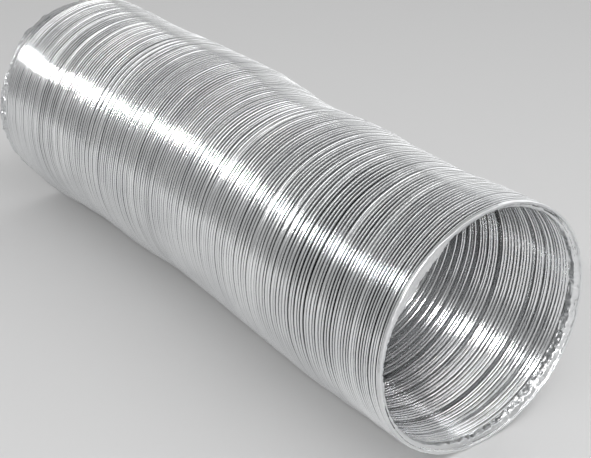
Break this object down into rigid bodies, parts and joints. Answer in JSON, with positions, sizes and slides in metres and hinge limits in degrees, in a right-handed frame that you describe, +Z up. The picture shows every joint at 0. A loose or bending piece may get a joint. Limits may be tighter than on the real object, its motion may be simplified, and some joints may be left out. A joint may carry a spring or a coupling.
{
  "type": "flexible air duct",
  "caption": "Round semi-rigid air duct wound from ribbed aluminium strip, pushed together, with a folded front hem and a flared rear cuff; it stretches and bends",
  "frame": {"origin": "on the surface the duct lies on, under the middle of its bounding box", "axes": "+X along the duct towards its folded front hem, +Y sideways, +Z up"},
  "size_m": [0.5, 0.181, 0.169],
  "materials": {
    "ribbed_foil": "bright rolled foil, pressed into fine ribs",
    "folded_foil": "bright rolled foil, folded and crumpled",
    "cut_foil": "bright rolled foil, cut and creased"
  },
  "bodies": {
    "strip_turn_01": {"strip_turn_01": "ribbed_foil", "front_hem": "folded_foil"},
    "strip_turn_02": {"strip_turn_02": "ribbed_foil"},
    "strip_turn_03": {"strip_turn_03": "ribbed_foil"},
    "strip_turn_04": {"strip_turn_04": "ribbed_foil"},
    "strip_turn_05": {"strip_turn_05": "ribbed_foil"},
    "strip_turn_06": {"strip_turn_06": "ribbed_foil"},
    "strip_turn_07": {"strip_turn_07": "ribbed_foil"},
    "strip_turn_08": {"strip_turn_08": "ribbed_foil"},
    "strip_turn_09": {"strip_turn_09": "ribbed_foil"},
    "strip_turn_10": {"strip_turn_10": "ribbed_foil"},
    "strip_turn_11": {"strip_turn_11": "ribbed_foil"},
    "strip_turn_12": {"strip_turn_12": "ribbed_foil"},
    "strip_turn_13": {"strip_turn_13": "ribbed_foil"},
    "strip_turn_14": {"strip_turn_14": "ribbed_foil"},
    "strip_turn_15": {"strip_turn_15": "ribbed_foil"},
    "strip_turn_16": {"strip_turn_16": "ribbed_foil"},
    "strip_turn_17": {"strip_turn_17": "ribbed_foil"},
    "strip_turn_18": {"strip_turn_18": "ribbed_foil"},
    "strip_turn_19": {"strip_turn_19": "ribbed_foil"},
    "strip_turn_20": {"strip_turn_20": "ribbed_foil"},
    "strip_turn_21": {"strip_turn_21": "ribbed_foil"},
    "strip_turn_22": {"strip_turn_22": "ribbed_foil"},
    "strip_turn_23": {"strip_turn_23": "ribbed_foil"},
    "strip_turn_24": {"strip_turn_24": "ribbed_foil"},
    "strip_turn_25": {"strip_turn_25": "ribbed_foil"},
    "strip_turn_26": {"strip_turn_26": "ribbed_foil"},
    "strip_turn_27": {"strip_turn_27": "ribbed_foil"},
    "strip_turn_28": {"strip_turn_28": "ribbed_foil"},
    "strip_turn_29": {"strip_turn_29": "ribbed_foil"},
    "strip_turn_30": {"strip_turn_30": "ribbed_foil"},
    "strip_turn_31": {"strip_turn_31": "ribbed_foil"},
    "strip_turn_32": {"strip_turn_32": "ribbed_foil"},
    "strip_turn_33": {"strip_turn_33": "ribbed_foil"},
    "strip_turn_34": {"strip_turn_34": "ribbed_foil"},
    "strip_turn_35": {"strip_turn_35": "ribbed_foil"},
    "strip_turn_36": {"strip_turn_36": "ribbed_foil", "rear_cuff": "cut_foil"}
  },
  "joints": [
    {"name": "bend_left", "type": "hinge", "parent": "strip_turn_19", "child": "strip_turn_20", "pos_m": [-0.01344, 0.09031, 0.0845], "axis": [0, 0, -1], "range_deg": [0, 15]},
    {"name": "bend_left_02", "type": "hinge", "parent": "strip_turn_14", "child": "strip_turn_13", "pos_m": [0.06722, 0.08533, 0.0845], "axis": [0, 0, 1], "range_deg": [0, 15]},
    {"name": "bend_left_03", "type": "hinge", "parent": "strip_turn_25", "child": "strip_turn_26", "pos_m": [-0.09411, 0.09002, 0.0845], "axis": [0, 0, -1], "range_deg": [0, 15]},
    {"name": "bend_left_04", "type": "hinge", "parent": "strip_turn_08", "child": "strip_turn_07", "pos_m": [0.14789, 0.07882, 0.0845], "axis": [0, 0, 1], "range_deg": [0, 15]},
    {"name": "bend_left_05", "type": "hinge", "parent": "strip_turn_31", "child": "strip_turn_32", "pos_m": [-0.17478, 0.08496, 0.0845], "axis": [0, 0, -1], "range_deg": [0, 15]},
    {"name": "bend_left_06", "type": "hinge", "parent": "strip_turn_02", "child": "strip_turn_01", "pos_m": [0.22856, 0.08263, 0.0845], "axis": [0, 0, 1], "range_deg": [0, 15]},
    {"name": "bend_right", "type": "hinge", "parent": "strip_turn_16", "child": "strip_turn_15", "pos_m": [0.04033, -0.08325, 0.0845], "axis": [0, 0, -1], "range_deg": [0, 15]},
    {"name": "bend_right_02", "type": "hinge", "parent": "strip_turn_21", "child": "strip_turn_22", "pos_m": [-0.04033, -0.07892, 0.0845], "axis": [0, 0, 1], "range_deg": [0, 15]},
    {"name": "bend_right_03", "type": "hinge", "parent": "strip_turn_10", "child": "strip_turn_09", "pos_m": [0.121, -0.09037, 0.0845], "axis": [0, 0, -1], "range_deg": [0, 15]},
    {"name": "bend_right_04", "type": "hinge", "parent": "strip_turn_27", "child": "strip_turn_28", "pos_m": [-0.121, -0.08191, 0.0845], "axis": [0, 0, 1], "range_deg": [0, 15]},
    {"name": "bend_right_05", "type": "hinge", "parent": "strip_turn_04", "child": "strip_turn_03", "pos_m": [0.20167, -0.08913, 0.0845], "axis": [0, 0, -1], "range_deg": [0, 15]},
    {"name": "bend_right_06", "type": "hinge", "parent": "strip_turn_33", "child": "strip_turn_34", "pos_m": [-0.20167, -0.08648, 0.0845], "axis": [0, 0, 1], "range_deg": [0, 15]},
    {"name": "bend_up", "type": "hinge", "parent": "strip_turn_18", "child": "strip_turn_17", "pos_m": [0.01344, 0.00382, 0.1693], "axis": [0, -1, 0], "range_deg": [0, 15]},
    {"name": "bend_up_02", "type": "hinge", "parent": "strip_turn_23", "child": "strip_turn_24", "pos_m": [-0.06722, 0.00584, 0.1693], "axis": [0, 1, 0], "range_deg": [0, 15]},
    {"name": "bend_up_03", "type": "hinge", "parent": "strip_turn_12", "child": "strip_turn_11", "pos_m": [0.09411, -0.00286, 0.1693], "axis": [0, -1, 0], "range_deg": [0, 15]},
    {"name": "bend_up_04", "type": "hinge", "parent": "strip_turn_29", "child": "strip_turn_30", "pos_m": [-0.14789, 0.0015, 0.1693], "axis": [0, 1, 0], "range_deg": [0, 15]},
    {"name": "bend_up_05", "type": "hinge", "parent": "strip_turn_06", "child": "strip_turn_05", "pos_m": [0.17478, -0.00543, 0.1693], "axis": [0, -1, 0], "range_deg": [0, 15]},
    {"name": "bend_up_06", "type": "hinge", "parent": "strip_turn_35", "child": "strip_turn_36", "pos_m": [-0.22856, -0.00194, 0.1693], "axis": [0, 1, 0], "range_deg": [0, 15]},
    {"name": "stretch", "type": "slide", "parent": "strip_turn_18", "child": "strip_turn_19", "axis": [-1, 0, 0], "range_m": [0, 0.0588]},
    {"name": "stretch_02", "type": "slide", "parent": "strip_turn_17", "child": "strip_turn_16", "axis": [1, 0, 0], "range_m": [0, 0.0588]},
    {"name": "stretch_03", "type": "slide", "parent": "strip_turn_20", "child": "strip_turn_21", "axis": [-1, 0, 0], "range_m": [0, 0.0588]},
    {"name": "stretch_04", "type": "slide", "parent": "strip_turn_15", "child": "strip_turn_14", "axis": [1, 0, 0], "range_m": [0, 0.0588]},
    {"name": "stretch_05", "type": "slide", "parent": "strip_turn_22", "child": "strip_turn_23", "axis": [-1, 0, 0], "range_m": [0, 0.0588]},
    {"name": "stretch_06", "type": "slide", "parent": "strip_turn_13", "child": "strip_turn_12", "axis": [1, 0, 0], "range_m": [0, 0.0588]},
    {"name": "stretch_07", "type": "slide", "parent": "strip_turn_24", "child": "strip_turn_25", "axis": [-1, 0, 0], "range_m": [0, 0.0588]},
    {"name": "stretch_08", "type": "slide", "parent": "strip_turn_11", "child": "strip_turn_10", "axis": [1, 0, 0], "range_m": [0, 0.0588]},
    {"name": "stretch_09", "type": "slide", "parent": "strip_turn_26", "child": "strip_turn_27", "axis": [-1, 0, 0], "range_m": [0, 0.0588]},
    {"name": "stretch_10", "type": "slide", "parent": "strip_turn_09", "child": "strip_turn_08", "axis": [1, 0, 0], "range_m": [0, 0.0588]},
    {"name": "stretch_11", "type": "slide", "parent": "strip_turn_28", "child": "strip_turn_29", "axis": [-1, 0, 0], "range_m": [0, 0.0588]},
    {"name": "stretch_12", "type": "slide", "parent": "strip_turn_07", "child": "strip_turn_06", "axis": [1, 0, 0], "range_m": [0, 0.0588]},
    {"name": "stretch_13", "type": "slide", "parent": "strip_turn_30", "child": "strip_turn_31", "axis": [-1, 0, 0], "range_m": [0, 0.0588]},
    {"name": "stretch_14", "type": "slide", "parent": "strip_turn_05", "child": "strip_turn_04", "axis": [1, 0, 0], "range_m": [0, 0.0588]},
    {"name": "stretch_15", "type": "slide", "parent": "strip_turn_32", "child": "strip_turn_33", "axis": [-1, 0, 0], "range_m": [0, 0.0588]},
    {"name": "stretch_16", "type": "slide", "parent": "strip_turn_03", "child": "strip_turn_02", "axis": [1, 0, 0], "range_m": [0, 0.0588]},
    {"name": "stretch_17", "type": "slide", "parent": "strip_turn_34", "child": "strip_turn_35", "axis": [-1, 0, 0], "range_m": [0, 0.0588]}
  ],
  "couplings": [
    {"joint": "bend_left_02", "follows": "bend_left", "ratio": 1},
    {"joint": "bend_left_03", "follows": "bend_left", "ratio": 1},
    {"joint": "bend_left_04", "follows": "bend_left", "ratio": 1},
    {"joint": "bend_left_05", "follows": "bend_left", "ratio": 1},
    {"joint": "bend_left_06", "follows": "bend_left", "ratio": 1},
    {"joint": "bend_right_02", "follows": "bend_right", "ratio": 1},
    {"joint": "bend_right_03", "follows": "bend_right", "ratio": 1},
    {"joint": "bend_right_04", "follows": "bend_right", "ratio": 1},
    {"joint": "bend_right_05", "follows": "bend_right", "ratio": 1},
    {"joint": "bend_right_06", "follows": "bend_right", "ratio": 1},
    {"joint": "bend_up_02", "follows": "bend_up", "ratio": 1},
    {"joint": "bend_up_03", "follows": "bend_up", "ratio": 1},
    {"joint": "bend_up_04", "follows": "bend_up", "ratio": 1},
    {"joint": "bend_up_05", "follows": "bend_up", "ratio": 1},
    {"joint": "bend_up_06", "follows": "bend_up", "ratio": 1},
    {"joint": "stretch_02", "follows": "stretch", "ratio": 1},
    {"joint": "stretch_03", "follows": "stretch", "ratio": 1},
    {"joint": "stretch_04", "follows": "stretch", "ratio": 1},
    {"joint": "stretch_05", "follows": "stretch", "ratio": 1},
    {"joint": "stretch_06", "follows": "stretch", "ratio": 1},
    {"joint": "stretch_07", "follows": "stretch", "ratio": 1},
    {"joint": "stretch_08", "follows": "stretch", "ratio": 1},
    {"joint": "stretch_09", "follows": "stretch", "ratio": 1},
    {"joint": "stretch_10", "follows": "stretch", "ratio": 1},
    {"joint": "stretch_11", "follows": "stretch", "ratio": 1},
    {"joint": "stretch_12", "follows": "stretch", "ratio": 1},
    {"joint": "stretch_13", "follows": "stretch", "ratio": 1},
    {"joint": "stretch_14", "follows": "stretch", "ratio": 1},
    {"joint": "stretch_15", "follows": "stretch", "ratio": 1},
    {"joint": "stretch_16", "follows": "stretch", "ratio": 1},
    {"joint": "stretch_17", "follows": "stretch", "ratio": 1}
  ]
}
